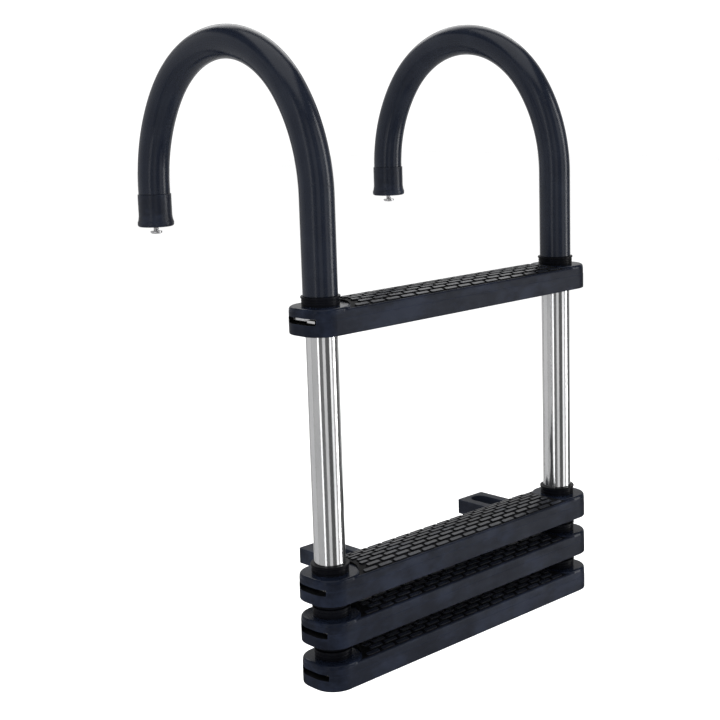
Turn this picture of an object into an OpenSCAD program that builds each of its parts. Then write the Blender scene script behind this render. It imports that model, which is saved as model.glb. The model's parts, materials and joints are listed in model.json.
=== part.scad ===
// Telescoping boat boarding ladder with gunwale hooks, stored with its two sliding sections pushed up.
// Millimetres, Z up. X runs along the steps, +Y points at the boat's hull.
// Origin: middle of the underside of the lowest step, in the plane of the tubes.

/* [Rails] */
// Distance between the left and the right tube axis
rail_spacing = 360; // [350:1:360]
// Outside diameter of the rail tubes
rail_d = 32; // [31:0.1:33]
// Outside diameter of the middle tubes
middle_d = 25.4; // [25:0.1:26]
// Outside diameter of the inner tubes
inner_d = 19; // [18:0.1:19.5]
// Wall thickness of every tube
tube_wall = 1.2; // [1:0.1:1.2]

/* [Steps] */
// Length of a step
step_len = 418; // [417:1:440]
// Depth of a step, front to back
step_depth = 60; // [58:1:64]
// Height of a step at its rim
rim_h = 25; // [24.5:0.5:26]
// Height of the crowned tread above the rim
crown_h = 4; // [4:0.5:5]
// Radius of the four upright corners of a step
corner_r = 24; // [18:1:24]
// Distance from one stacked step to the next
stack_pitch = 44.5; // [43.5:0.5:46]
// Distance from the second step to the top step
step_spacing = 271; // [250:1:300]

/* [Tread blocks] */
// Rows of raised blocks across a step
block_rows = 8; // [6:1:8]
// Distance from row to row
row_pitch = 6.9; // [6.5:0.1:6.9]
// Distance from block to block along a row
block_pitch = 21.1; // [19:0.1:24]
// Length of a block
block_len = 18; // [14:0.5:18.5]
// Width of a block
block_w = 4.5; // [4:0.1:5.2]
// Height of a block above the tread
block_h = 1.5; // [1:0.1:2]

/* [Gunwale hooks] */
// Distance between the two legs of a hook, axis to axis
hook_reach = 270; // [240:1:300]
// Height of the hook's bend, from its spring line to the top of the tube's axis
hook_rise = 152.5; // [150:0.5:170]
// Height of the spring line above the floor
spring_z = 492; // [492:1:520]
// Height of the underside of the left hook's cap above the floor
left_cap_z = 449.5; // [446:0.5:456]
// Height of the underside of the right hook's cap above the floor
right_cap_z = 456; // [446:0.5:456]
// Outside diameter of the hook sleeves
sleeve_d = 34.8; // [34:0.1:35]

/* [Standoffs] */
// Width of a standoff
standoff_w = 42; // [40:0.5:42]
// How far the left standoff's free end is from the plane of the tubes
left_reach = 95; // [80:1:98]
// How far the right standoff's free end is from the plane of the tubes
right_reach = 85; // [76:1:98]

/* [Hidden] */
$fn = 64;
gap = 0.3;
slip = 0.05;
rail_x = rail_spacing / 2;

fourth_z = 0;
third_z = fourth_z + stack_pitch;
second_z = third_z + stack_pitch;
top_z = second_z + step_spacing;
travel = step_spacing - stack_pitch;

rail_r = rail_d / 2;
middle_r = middle_d / 2;
inner_r = inner_d / 2;
rail_bore_r = rail_r - tube_wall;
middle_bore_r = middle_r - tube_wall;
inner_bore_r = inner_r - tube_wall;

// Step section
edge_r = 2.5;
wall = 3;
pocket_h = 20;
rim_w = 2.7;
rim_drop = 0.6;
field_half = step_depth / 2 - rim_w;
field_edge_z = rim_h - rim_drop;
crown_z = rim_h + crown_h;
crown_rise = crown_z - field_edge_z;
crown_r = (field_half * field_half + crown_rise * crown_rise) / (2 * crown_rise);
pad_r = 30;
pad_lap = 1.5;
pad_inset = 0.4;
pad_rise = 2;
block_margin = 2;
field_end_gap = 20;
blocks_per_row = floor((rail_spacing - 2 * field_end_gap) / block_pitch);
rib_xs = [-143, -97, -50, 0, 50, 97, 143];
channel_w = rib_xs[6] - rib_xs[5] - wall;
standoff_x = (rib_xs[5] + rib_xs[6]) / 2;

// Collars on the steps and guide flanges under them
collar_h = 11.5;
collar_r = 19;
collar_seat = 6;
collar_lip_h = 1.6;
collar_lip = 0.7;
groove_pitch = 2.8;
groove_h = 0.8;
groove_d = 0.5;
flange_r = 18;
flange_gap = 0.5;
flange_h = stack_pitch - rim_h - collar_h - flange_gap;
guide_len = 28;
stop_len = 22;

// Retaining clips and the slots that they are pushed into
slot_z = 11.5;
slot_h = 6.5;
slot_half = 20;
slot_mouth = 6;
clip_t = 3;
clip_z = slot_z + (slot_h - clip_t) / 2;
clip_half = 19;
clip_bite = 1.6;
clip_reach = 8;
clip_setback = 9;
tab_reach = 5;
tab_w = 11;
clip_play = 0.1;
throat_play = 1.5;

// Three-centre bend of the hook: side arcs, then a tighter crown arc.
// They meet on a 3-4-5 slope, so every centre and radius is a round number.
bend_cos = 0.8;
bend_sin = 0.6;
bend_diff = (hook_rise - hook_reach / 2) / (bend_sin + bend_cos - 1);
bend_side_r = hook_reach / 2 + bend_diff * bend_cos;
bend_crown_r = bend_side_r - bend_diff;
bend_crown_z = spring_z + bend_diff * bend_sin;

// Hook ends
cap_h = 35.5;
cap_floor = 6;
cap_wall = 1;
cap_out_r = sleeve_d / 2 + cap_wall;
cap_flare_r = 20;
cap_foot = 2.5;
cap_flare_h = 5;
cap_taper_h = 9;
plug_h = 20;
screw_r = 3;
screw_tip_gap = 4;
screw_head_r = 6.5;
screw_head_h = 3.2;
screw_rim_z = 1.5;
screw_dome_r = (screw_head_r * screw_head_r + screw_rim_z * screw_rim_z) / (2 * screw_rim_z);
screw_drop = 5.4;
cross_w = 1.2;
cross_depth = 1.6;

// Standoffs and their clamps
standoff_h = 17;
standoff_z = second_z + 2.5;
standoff_len = 100;
standoff_heel = 4;
standoff_slot_w = 20;
standoff_slot_wall = 7;
standoff_round = 3;
clamp_y = 13;
clamp_boss_r = standoff_slot_w / 2 - gap;
clamp_flange_r = 17;
clamp_flange_h = 2;
bolt_r = 4;
bolt_head_r = 7;
bolt_head_h = 4;
nut_af = 13;
nut_h = 5;
nut_play = 0.2;

// ---------- shared shapes ----------

// A plain ring or tube standing on the XY plane
module ring(r_out, r_in, h) {
    difference() {
        cylinder(r = r_out, h = h);
        translate([0, 0, -1]) cylinder(r = r_in, h = h + 2);
    }
}

// Section of a step block from its middle out to one edge, with a rounded top edge
module edge_profile(reach) {
    square([reach, rim_h - edge_r]);
    square([reach - edge_r, rim_h]);
    translate([reach - edge_r, rim_h - edge_r]) circle(edge_r);
}

// The plain block of a step, with rounded upright corners and a rounded top edge
module step_block() {
    straight_x = step_len / 2 - corner_r;
    straight_y = step_depth / 2 - corner_r;
    for (sx = [0, 1], sy = [0, 1])
        mirror([sx, 0, 0]) mirror([0, sy, 0])
            translate([straight_x, straight_y, 0])
                rotate_extrude(angle = 90) edge_profile(corner_r);
    for (side = [0, 1]) {
        mirror([0, side, 0])
            translate([-straight_x, 0, 0])
                rotate([90, 0, 90])
                    linear_extrude(2 * straight_x) edge_profile(step_depth / 2);
        mirror([side, 0, 0])
            translate([straight_x, straight_y, 0])
                rotate([90, 0, 0])
                    linear_extrude(2 * straight_y) edge_profile(corner_r);
    }
}

// Outline of a step seen from above, brought in all round by an inset
module step_outline(inset) {
    half_x = step_len / 2 - inset;
    half_y = step_depth / 2 - inset;
    radius = corner_r - inset;
    square([2 * half_x, 2 * (half_y - radius)], center = true);
    square([2 * (half_x - radius), 2 * half_y], center = true);
    for (sx = [-1, 1], sy = [-1, 1])
        translate([sx * (half_x - radius), sy * (half_y - radius)]) circle(radius);
}

// Outline of the tread field: a strip cut back round each tube
module field_outline() {
    difference() {
        square([rail_spacing, 2 * field_half], center = true);
        for (s = [-1, 1]) translate([s * rail_x, 0]) circle(pad_r - pad_lap);
    }
}

// Everything under a long cylinder that lies along the step, which gives the tread its crown
module crown_limit(radius, top) {
    translate([-step_len / 2, 0, top - radius])
        rotate([0, 90, 0])
            cylinder(r = radius, h = step_len, $fn = 180);
}

// One raised block, with pointed ends
module block_outline() {
    tip = block_w / 2;
    polygon([
        [-block_len / 2, 0], [-block_len / 2 + tip, -block_w / 2], [block_len / 2 - tip, -block_w / 2],
        [block_len / 2, 0], [block_len / 2 - tip, block_w / 2], [-block_len / 2 + tip, block_w / 2]
    ]);
}

// All the blocks of a tread, each second row moved along by half a block
module block_field() {
    intersection() {
        square([rail_spacing, 2 * field_half], center = true);
        difference() {
            for (row = [0 : block_rows - 1]) {
                shift = (row % 2) * 0.5;
                count = blocks_per_row - (row % 2);
                for (i = [0 : count - 1])
                    translate([(i - (count - 1) / 2) * block_pitch, (row - (block_rows - 1) / 2) * row_pitch])
                        block_outline();
            }
            for (s = [-1, 1]) translate([s * rail_x, 0]) circle(pad_r + block_margin);
        }
    }
}

// Outline of the plain ends of a step: everything beyond the tread field, which ends in an arc round each tube
module end_pads() {
    difference() {
        step_outline(pad_inset);
        difference() {
            square([rail_spacing, step_depth + 2], center = true);
            for (s = [-1, 1]) translate([s * rail_x, 0]) circle(pad_r);
        }
    }
}

// The crowned bed with its blocks, and the flat ends, which stand a little above the rim
module tread() {
    intersection() {
        translate([0, 0, pocket_h]) linear_extrude(crown_z - pocket_h + 1) field_outline();
        crown_limit(crown_r, crown_z);
    }
    intersection() {
        translate([0, 0, pocket_h + 1]) linear_extrude(crown_z + block_h - pocket_h) block_field();
        crown_limit(crown_r + block_h, crown_z + block_h);
    }
    translate([0, 0, pocket_h + 1]) linear_extrude(rim_h + pad_rise - pocket_h - 1) end_pads();
}

// Hollows between the ribs on the underside of a step
module pockets(has_channels) {
    for (i = [0 : len(rib_xs) - 2]) {
        x0 = rib_xs[i] + wall / 2;
        x1 = rib_xs[i + 1] - wall / 2;
        is_channel = has_channels && (i == 0 || i == len(rib_xs) - 2);
        half = step_depth / 2 - wall;
        if (is_channel)
            translate([x0, -half, -1]) cube([x1 - x0, 2 * half, pocket_h + 1]);
        else
            for (side = [0, 1]) mirror([0, side, 0])
                translate([x0, wall / 2, -1]) cube([x1 - x0, half - wall / 2, pocket_h + 1]);
    }
}

// Slot in one end of a step, tall at its mouth and then just tall enough for the clip
module clip_slot() {
    inner = rail_x - clip_reach - clip_play;
    translate([inner, -slot_half, clip_z - clip_play])
        cube([step_len / 2 - inner + 1, 2 * slot_half, clip_t + 2 * clip_play]);
    translate([step_len / 2 - slot_mouth, -slot_half, slot_z])
        cube([slot_mouth + 1, 2 * slot_half, slot_h]);
}

// A whole step for tubes of the given radius; the tubes stop at floor_z above its underside
module step(tube_r, floor_z, has_channels) {
    difference() {
        union() {
            step_block();
            tread();
        }
        pockets(has_channels);
        for (s = [0, 1]) mirror([s, 0, 0]) {
            translate([rail_x, 0, floor_z]) cylinder(r = tube_r + slip, h = rim_h);
            translate([rail_x, 0, rim_h - collar_seat]) cylinder(r = collar_r + slip, h = rim_h);
            clip_slot();
        }
    }
}

// Moulded collar seated in the top of a step
module collar(tube_r) {
    height = collar_seat + collar_h;
    translate([0, 0, rim_h - collar_seat])
        difference() {
            union() {
                cylinder(r = collar_r, h = height);
                translate([0, 0, height - collar_lip_h]) cylinder(r = collar_r + collar_lip, h = collar_lip_h);
            }
            translate([0, 0, -1]) cylinder(r = tube_r + slip, h = height + 2);
            for (i = [1 : 3])
                translate([0, 0, collar_seat + i * groove_pitch])
                    ring(collar_r + groove_d, collar_r - groove_d, groove_h);
        }
}

// U-shaped plate that is pushed into a slot and grips the tube in two notches.
// A tab at its front corner, if it has one, reaches out towards the mouth of the slot.
module clip(tube_r, tab) {
    outer_x = step_len / 2 - rail_x - clip_setback;
    throat = tube_r - clip_bite;
    translate([0, 0, clip_z])
        difference() {
            union() {
                translate([-clip_reach, -clip_half, 0]) cube([clip_reach + outer_x, 2 * clip_half, clip_t]);
                translate([0, -clip_half, 0]) cube([outer_x + tab, tab_w, clip_t]);
            }
            translate([-clip_reach - 1, -throat, -1])
                cube([clip_reach + 1 + tube_r + throat_play, 2 * throat, clip_t + 2]);
        }
}

module clip_pair(tube_r, tab) {
    for (s = [0, 1]) mirror([s, 0, 0]) translate([rail_x, 0, 0]) clip(tube_r, tab);
}

// Notches for a clip, cut in a tube or bush of the given radius
module clip_notches(tube_r) {
    throat = tube_r - clip_bite - clip_play;
    for (side = [0, 1]) mirror([0, side, 0])
        translate([-tube_r, throat, clip_z - clip_play])
            cube([2 * tube_r, 2 * clip_bite, clip_t + 2 * clip_play]);
}

// Bush with a flange, in the lower end of a tube
module guide(bore_r, passing_r, holder_r) {
    difference() {
        union() {
            translate([0, 0, -flange_h]) cylinder(r = flange_r, h = flange_h);
            cylinder(r = bore_r, h = guide_len);
        }
        translate([0, 0, -flange_h - 1]) cylinder(r = passing_r + gap, h = flange_h + guide_len + 2);
        clip_notches(holder_r);
    }
}

// ---------- hook path ----------

// Part of a round bend in the YZ plane: the upper half of a pipe ring, cut to a wedge from its centre
module bend(radius, wedge, r_out, r_in) {
    rotate([90, 0, 90])
        intersection() {
            rotate_extrude(angle = 180)
                translate([radius, 0])
                    difference() {
                        circle(r_out);
                        circle(r_in);
                    }
            translate([0, 0, -sleeve_d])
                linear_extrude(2 * sleeve_d) polygon(wedge);
        }
}

// The wide arc that leaves a leg at y = 0
module side_bend(r_out, r_in) {
    far = 2 * bend_side_r;
    wedge = [[0, 0], [-far * bend_cos, far * bend_sin], [-far, -far], [0, -far]];
    translate([0, bend_side_r, spring_z]) bend(bend_side_r, wedge, r_out, r_in);
}

// The tighter arc over the top
module crown_bend(r_out, r_in) {
    far = 2 * bend_crown_r;
    out = far * bend_cos;
    wedge = [[0, 0], [out, far * bend_sin], [out, far], [-out, far], [-out, far * bend_sin]];
    translate([0, hook_reach / 2, bend_crown_z]) bend(bend_crown_r, wedge, r_out, r_in);
}

// The hook's bend and its two legs, from z0 on the long leg to z1 on the free leg
module hook_path(r_out, r_in, z0, z1) {
    translate([0, 0, z0]) ring(r_out, r_in, spring_z - z0);
    side_bend(r_out, r_in);
    crown_bend(r_out, r_in);
    translate([0, hook_reach, 0]) mirror([0, 1, 0]) side_bend(r_out, r_in);
    translate([0, hook_reach, z1]) ring(r_out, r_in, spring_z - z1);
}

// ---------- frame pieces ----------

module rail_tube(cap_z) {
    color([0.78, 0.79, 0.80])
        difference() {
            hook_path(rail_r, rail_bore_r, second_z, cap_z + cap_floor);
            translate([0, 0, second_z]) clip_notches(rail_r);
            translate([0, 0, top_z]) clip_notches(rail_r);
        }
}

module hook_sleeve(cap_z) {
    color([0.09, 0.10, 0.13])
        hook_path(sleeve_d / 2, rail_r, top_z + rim_h + collar_h, cap_z + cap_h);
}

module hook_cap(cap_z) {
    color([0.07, 0.08, 0.10])
        translate([0, hook_reach, cap_z])
            rotate_extrude()
                difference() {
                    polygon([
                        [0, 0], [cap_flare_r - cap_foot, 0], [cap_flare_r, cap_foot], [cap_flare_r, cap_flare_h],
                        [cap_out_r, cap_taper_h], [cap_out_r, cap_h], [0, cap_h]
                    ]);
                    translate([0, cap_floor]) square([rail_r, cap_h]);
                    square([screw_r, cap_floor]);
                }
}

module end_plug(cap_z) {
    color([0.85, 0.85, 0.80])
        translate([0, hook_reach, cap_z + cap_floor])
            ring(rail_bore_r, screw_r, plug_h);
}

// Domed head of the cap screw, dome down, with a cross recess
module screw_head() {
    difference() {
        rotate_extrude() {
            translate([0, screw_rim_z]) square([screw_head_r, screw_head_h - screw_rim_z]);
            intersection() {
                translate([0, screw_dome_r]) circle(screw_dome_r);
                square([screw_head_r, screw_head_h]);
            }
        }
        for (turn = [0, 90])
            rotate([0, 0, turn])
                translate([-screw_head_r / 2, -cross_w / 2, -1]) cube([screw_head_r, cross_w, 1 + cross_depth]);
    }
}

module cap_screw(cap_z) {
    color([0.80, 0.81, 0.82])
        translate([0, hook_reach, cap_z - screw_drop]) {
            cylinder(r = screw_r, h = screw_drop + cap_floor + plug_h - screw_tip_gap);
            translate([0, 0, -screw_head_h]) screw_head();
        }
}

module rail_guide() {
    color([0.08, 0.09, 0.10])
        translate([0, 0, second_z]) guide(rail_bore_r, middle_r, rail_r);
}

// ---------- steps ----------

module top_step() {
    color([0.15, 0.17, 0.21]) translate([0, 0, top_z]) step(rail_r, -1, false);
}

module second_step() {
    color([0.15, 0.17, 0.21])
        translate([0, 0, second_z])
            difference() {
                step(rail_r, -1, true);
                for (s = [-1, 1]) translate([s * standoff_x, 0, 0]) {
                    translate([-channel_w / 2, 0, -1]) cube([channel_w, step_depth, pocket_h + 1]);
                    translate([0, clamp_y, 0]) {
                        cylinder(r = bolt_r + slip, h = pocket_h + nut_h + gap);
                        translate([0, 0, pocket_h - 1])
                            cylinder(d = (nut_af + nut_play) / cos(30), h = nut_h + 1, $fn = 6);
                    }
                }
            }
}

module third_step() {
    color([0.15, 0.17, 0.21]) translate([0, 0, third_z]) step(middle_r, -1, false);
}

module fourth_step() {
    color([0.15, 0.17, 0.21]) translate([0, 0, fourth_z]) step(inner_r, wall, false);
}

// ---------- sliding sections ----------

module middle_tube() {
    top = second_z + guide_len + travel + stop_len;
    color([0.78, 0.79, 0.80])
        translate([0, 0, third_z])
            difference() {
                ring(middle_r, middle_bore_r, top - third_z);
                clip_notches(middle_r);
            }
}

module middle_stop() {
    color([0.85, 0.85, 0.80])
        translate([0, 0, second_z + guide_len + travel])
            ring(rail_bore_r - gap, middle_r, stop_len);
}

module middle_guide() {
    color([0.08, 0.09, 0.10])
        translate([0, 0, third_z]) guide(middle_bore_r, inner_r, middle_r);
}

module inner_tube() {
    top = third_z + guide_len + travel + stop_len;
    color([0.78, 0.79, 0.80])
        translate([0, 0, fourth_z])
            difference() {
                translate([0, 0, wall]) ring(inner_r, inner_bore_r, top - fourth_z - wall);
                clip_notches(inner_r);
            }
}

module inner_stop() {
    color([0.85, 0.85, 0.80])
        translate([0, 0, third_z + guide_len + travel])
            ring(middle_bore_r - gap, inner_r, stop_len);
}

// ---------- standoffs ----------

// A long hole with round ends, from y0 to y1
module long_hole(width, y0, y1) {
    translate([-width / 2, y0 + width / 2]) square([width, y1 - y0 - width]);
    translate([0, y0 + width / 2]) circle(width / 2);
    translate([0, y1 - width / 2]) circle(width / 2);
}

// A slotted arm whose free end is at the given reach
module standoff(reach) {
    inner_y = reach - standoff_len;
    color([0.13, 0.14, 0.17])
        translate([0, 0, standoff_z])
            linear_extrude(standoff_h)
                difference() {
                    union() {
                        translate([-standoff_w / 2, inner_y])
                            square([standoff_w, standoff_len - standoff_round]);
                        translate([-standoff_w / 2 + standoff_round, inner_y])
                            square([standoff_w - 2 * standoff_round, standoff_len]);
                        for (s = [-1, 1])
                            translate([s * (standoff_w / 2 - standoff_round), reach - standoff_round])
                                circle(standoff_round);
                    }
                    long_hole(standoff_slot_w, inner_y + standoff_heel, reach - standoff_slot_wall);
                }
}

module standoff_washers() {
    color([0.08, 0.09, 0.10])
        for (s = [-1, 1])
            translate([s * standoff_x, clamp_y, standoff_z - gap - clamp_flange_h])
                difference() {
                    union() {
                        cylinder(r = clamp_flange_r, h = clamp_flange_h);
                        cylinder(r = clamp_boss_r, h = clamp_flange_h + gap + standoff_h + gap);
                    }
                    translate([0, 0, -1]) cylinder(r = bolt_r + slip, h = clamp_flange_h + standoff_h + 3);
                }
}

module standoff_bolts() {
    seat = standoff_z - gap - clamp_flange_h;
    color([0.80, 0.81, 0.82])
        for (s = [-1, 1])
            translate([s * standoff_x, clamp_y, 0]) {
                translate([0, 0, seat - bolt_head_h]) cylinder(r = bolt_head_r, h = bolt_head_h, $fn = 6);
                translate([0, 0, seat]) cylinder(r = bolt_r, h = second_z + pocket_h + nut_h - seat);
            }
}

module standoff_nuts() {
    color([0.80, 0.81, 0.82])
        for (s = [-1, 1])
            translate([s * standoff_x, clamp_y, second_z + pocket_h])
                difference() {
                    cylinder(d = nut_af / cos(30), h = nut_h, $fn = 6);
                    translate([0, 0, -1]) cylinder(r = bolt_r, h = nut_h + 2);
                }
}

// Puts a piece on the left or the right rail
module left() { translate([-rail_x, 0, 0]) children(); }
module right() { translate([rail_x, 0, 0]) children(); }

module step_collar(base_z, tube_r) {
    color([0.05, 0.055, 0.065]) translate([0, 0, base_z]) collar(tube_r);
}

module step_clips(base_z, tube_r, tab) {
    color([0.75, 0.76, 0.78]) translate([0, 0, base_z]) clip_pair(tube_r, tab);
}

left() rail_tube(left_cap_z);  // left_rail_tube
right() rail_tube(right_cap_z);  // right_rail_tube
left() hook_sleeve(left_cap_z);  // left_hook_sleeve
right() hook_sleeve(right_cap_z);  // right_hook_sleeve
left() hook_cap(left_cap_z);  // left_hook_cap
right() hook_cap(right_cap_z);  // right_hook_cap
left() end_plug(left_cap_z);  // left_end_plug
right() end_plug(right_cap_z);  // right_end_plug
left() cap_screw(left_cap_z);  // left_cap_screw
right() cap_screw(right_cap_z);  // right_cap_screw
top_step();
second_step();
third_step();
fourth_step();
left() step_collar(top_z, rail_r);  // top_left_collar
right() step_collar(top_z, rail_r);  // top_right_collar
left() step_collar(second_z, rail_r);  // second_left_collar
right() step_collar(second_z, rail_r);  // second_right_collar
left() step_collar(third_z, middle_r);  // third_left_collar
right() step_collar(third_z, middle_r);  // third_right_collar
left() step_collar(fourth_z, inner_r);  // fourth_left_collar
right() step_collar(fourth_z, inner_r);  // fourth_right_collar
step_clips(top_z, rail_r, tab_reach);  // top_clips
step_clips(second_z, rail_r, 0);  // second_clips
step_clips(third_z, middle_r, 0);  // third_clips
step_clips(fourth_z, inner_r, 0);  // fourth_clips
left() rail_guide();  // left_rail_guide
right() rail_guide();  // right_rail_guide
left() middle_guide();  // left_middle_guide
right() middle_guide();  // right_middle_guide
left() middle_tube();  // left_middle_tube
right() middle_tube();  // right_middle_tube
left() middle_stop();  // left_middle_stop
right() middle_stop();  // right_middle_stop
left() inner_tube();  // left_inner_tube
right() inner_tube();  // right_inner_tube
left() inner_stop();  // left_inner_stop
right() inner_stop();  // right_inner_stop
translate([-standoff_x, 0, 0]) standoff(left_reach);  // left_standoff
translate([standoff_x, 0, 0]) standoff(right_reach);  // right_standoff
standoff_washers();
standoff_bolts();
standoff_nuts();
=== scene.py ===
import json
import math

import bmesh
import bpy
from mathutils import Matrix, Vector


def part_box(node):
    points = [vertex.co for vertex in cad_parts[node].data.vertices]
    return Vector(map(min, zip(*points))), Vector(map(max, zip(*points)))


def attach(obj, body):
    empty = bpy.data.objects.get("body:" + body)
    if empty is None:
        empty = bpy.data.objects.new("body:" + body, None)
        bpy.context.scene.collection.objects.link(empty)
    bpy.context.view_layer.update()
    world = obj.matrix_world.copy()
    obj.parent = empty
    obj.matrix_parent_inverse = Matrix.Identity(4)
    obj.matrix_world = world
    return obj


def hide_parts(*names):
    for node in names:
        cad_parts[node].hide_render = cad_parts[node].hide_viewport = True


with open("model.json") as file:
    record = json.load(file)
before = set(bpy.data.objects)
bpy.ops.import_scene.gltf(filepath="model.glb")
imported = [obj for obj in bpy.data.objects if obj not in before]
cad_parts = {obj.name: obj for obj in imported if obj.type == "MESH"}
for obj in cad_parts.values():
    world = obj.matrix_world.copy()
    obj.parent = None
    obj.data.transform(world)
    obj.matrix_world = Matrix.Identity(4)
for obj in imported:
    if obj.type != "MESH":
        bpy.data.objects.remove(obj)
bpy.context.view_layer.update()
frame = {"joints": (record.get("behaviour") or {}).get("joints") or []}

# Looks of the boat boarding ladder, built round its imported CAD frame.
# Metres, Z up. X runs along the steps and +Y points at the hull.

MM = 0.001

# ---------- places from the frame ----------

RAIL_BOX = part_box("right_rail_tube")
RAIL_X = (RAIL_BOX[0].x + RAIL_BOX[1].x) / 2
RAIL_R = (RAIL_BOX[1].x - RAIL_BOX[0].x) / 2
REACH = RAIL_BOX[1].y - RAIL_R
HOOK_TOP = RAIL_BOX[1].z - RAIL_R
SLEEVE_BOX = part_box("right_hook_sleeve")
SLEEVE_R = (SLEEVE_BOX[1].x - SLEEVE_BOX[0].x) / 2
STEP_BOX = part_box("top_step")
STEP_X = STEP_BOX[1].x
STEP_Y = STEP_BOX[1].y

# Each step, and the body that it rides on
LEVELS = {"top": "frame", "second": "frame", "third": "middle_section", "fourth": "lower_section"}
STEP_Z = {level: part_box(level + "_step")[0].z for level in LEVELS}


def radius_of(node):
    """Half of a round upright node's width."""
    low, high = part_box(node)
    return (high.x - low.x) / 2


MIDDLE_R = radius_of("right_middle_tube")
INNER_R = radius_of("right_inner_tube")
TUBE_R = {"top": RAIL_R, "second": RAIL_R, "third": MIDDLE_R, "fourth": INNER_R}
SIDES = {"left": -1, "right": 1}

# ---------- sizes that the frame's boxes don't hold ----------

# Tubes, and the hooks, which bend above SPRING_Z in arcs that meet on this slope
TUBE_WALL = 1.2 * MM
SPRING_Z = 492 * MM
BEND_COS = 0.8
BEND_SIN = 0.6

# A step's body: the rim round its top, its corners, and the hollows between its ribs
RIM_H = 25 * MM
RIM_W = 2.7 * MM
RIM_DROP = 0.6 * MM
CORNER_R = 24 * MM
POCKET_H = 20 * MM
WALL = 3 * MM
RIB_XS = [x * MM for x in (-143, -97, -50, 0, 50, 97, 143)]

# The tread: a crowned field that ends in arcs round the tubes, and a flat pad beyond each arc
CROWN_H = 4 * MM
PAD_R = 30 * MM
PAD_RISE = 2 * MM
PAD_LAP = 1.5 * MM
PAD_INSET = 0.4 * MM

# The tread's blocks, in staggered rows
BLOCK_ROWS = 8
BLOCKS_PER_ROW = 15
ROW_PITCH = 6.9 * MM
BLOCK_PITCH = 21.1 * MM
BLOCK_LEN = 18 * MM
BLOCK_W = 4.5 * MM
BLOCK_H = 1.5 * MM
BLOCK_MARGIN = 2 * MM

# Collars, and the slots that the clips are pushed into
COLLAR_R = 19 * MM
COLLAR_H = 11.5 * MM
COLLAR_SEAT = 6 * MM
SLOT_Z = 11.5 * MM
SLOT_H = 6.5 * MM
SLOT_HALF = 20 * MM
SLOT_PAST_AXIS = 8 * MM

# Caps, and the clamps of the standoffs
CAP_HOLE_R = 3 * MM
CLAMP_Y = 13 * MM
FLANGE_R = 17 * MM
BOLT_R = 4 * MM
FASTENER_SIDES = 48

# The field's edge is RIM_DROP below the rim, and its middle CROWN_H above it
FIELD_HALF = STEP_Y - RIM_W
FIELD_EDGE_Z = RIM_H - RIM_DROP
CROWN_RISE = RIM_H + CROWN_H - FIELD_EDGE_Z
CROWN_R = (FIELD_HALF ** 2 + CROWN_RISE ** 2) / (2 * CROWN_RISE)

# Material slots of a tread, whose first is the darker floor plastic that paints the shade in the gaps between
# the blocks, and the second one of a step's body, which paints the shade inside the clip slots
TREAD_FLOOR_SHADE, TREAD_BLOCK, TREAD_PAD = 0, 1, 2
SLOT_PAINTED_SHADE = 1

# ---------- mesh helpers ----------


def finish_mesh(name, bm, materials, body, replaces, sharp):
    """Makes a finished object from a bmesh."""
    mesh = bpy.data.meshes.new(name)
    bmesh.ops.recalc_face_normals(bm, faces=bm.faces)
    bm.to_mesh(mesh)
    bm.free()
    return finish_object(name, mesh, materials, body, replaces, sharp)


def finish_object(name, mesh, materials, body, replaces, sharp):
    """Makes an object from a mesh, smooth up to an angle, ties it to its CAD body and hides the CAD nodes
    that it replaces.
    """
    for polygon in mesh.polygons:
        polygon.use_smooth = True
    mesh.set_sharp_from_angle(angle=math.radians(sharp))
    obj = bpy.data.objects.new(name, mesh)
    for material in materials:
        mesh.materials.append(material)
    bpy.context.scene.collection.objects.link(obj)
    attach(obj, body)
    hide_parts(*replaces)
    return obj


def skin(bm, rings, ends, material=0):
    """Joins rings of equally many points with quads. ends is "capped", "joined" or "open".
    The UV map runs round the rings in U and along them, in metres, in V."""
    uv = bm.loops.layers.uv.verify()
    rows = [[bm.verts.new(p) for p in ring] for ring in rings]
    count = len(rings[0])
    along = [0.0]
    for before, after in zip(rings, rings[1:]):
        along.append(along[-1] + (Vector(after[0]) - Vector(before[0])).length)
    pairs = list(zip(range(len(rows) - 1), range(1, len(rows))))
    if ends == "joined":
        pairs.append((len(rows) - 1, 0))
    for a, b in pairs:
        for j in range(count):
            k = (j + 1) % count
            face = bm.faces.new((rows[a][j], rows[a][k], rows[b][k], rows[b][j]))
            face.material_index = material
            around = (j / count, (j + 1) / count, (j + 1) / count, j / count)
            heights = (along[a], along[a], along[b], along[b])
            for loop, u, v in zip(face.loops, around, heights):
                loop[uv].uv = (u, v)
    if ends == "capped":
        for row in (rows[0], rows[-1]):
            bm.faces.new(row).material_index = material
    return rows


def circle(x, y, z, r, count):
    """A level ring of points."""
    turns = [2 * math.pi * i / count for i in range(count)]
    return [(x + r * math.cos(t), y + r * math.sin(t), z) for t in turns]


def lathe(bm, x, y, profile, ends="joined", count=96):
    """Turns a profile of (radius, z) points about an upright axis."""
    skin(bm, [circle(x, y, z, r, count) for r, z in profile], ends)


def fillet(r0, z0, r1, z1, r2, z2, radius, steps=4):
    """Points of a rounded corner at (r1, z1), coming from (r0, z0) and leaving for (r2, z2)."""
    corner = Vector((r1, z1))
    before = (Vector((r0, z0)) - corner).normalized()
    after = (Vector((r2, z2)) - corner).normalized()
    half = before.angle(after) / 2
    reach = radius / math.tan(half)
    centre = corner + (before + after).normalized() * (radius / math.sin(half))
    start = corner + before * reach - centre
    end = corner + after * reach - centre
    turn = start.angle_signed(end)
    points = []
    for i in range(steps + 1):
        t = -turn * i / steps
        x = start.x * math.cos(t) - start.y * math.sin(t)
        z = start.x * math.sin(t) + start.y * math.cos(t)
        points.append((centre.x + x, centre.y + z))
    return points


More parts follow.
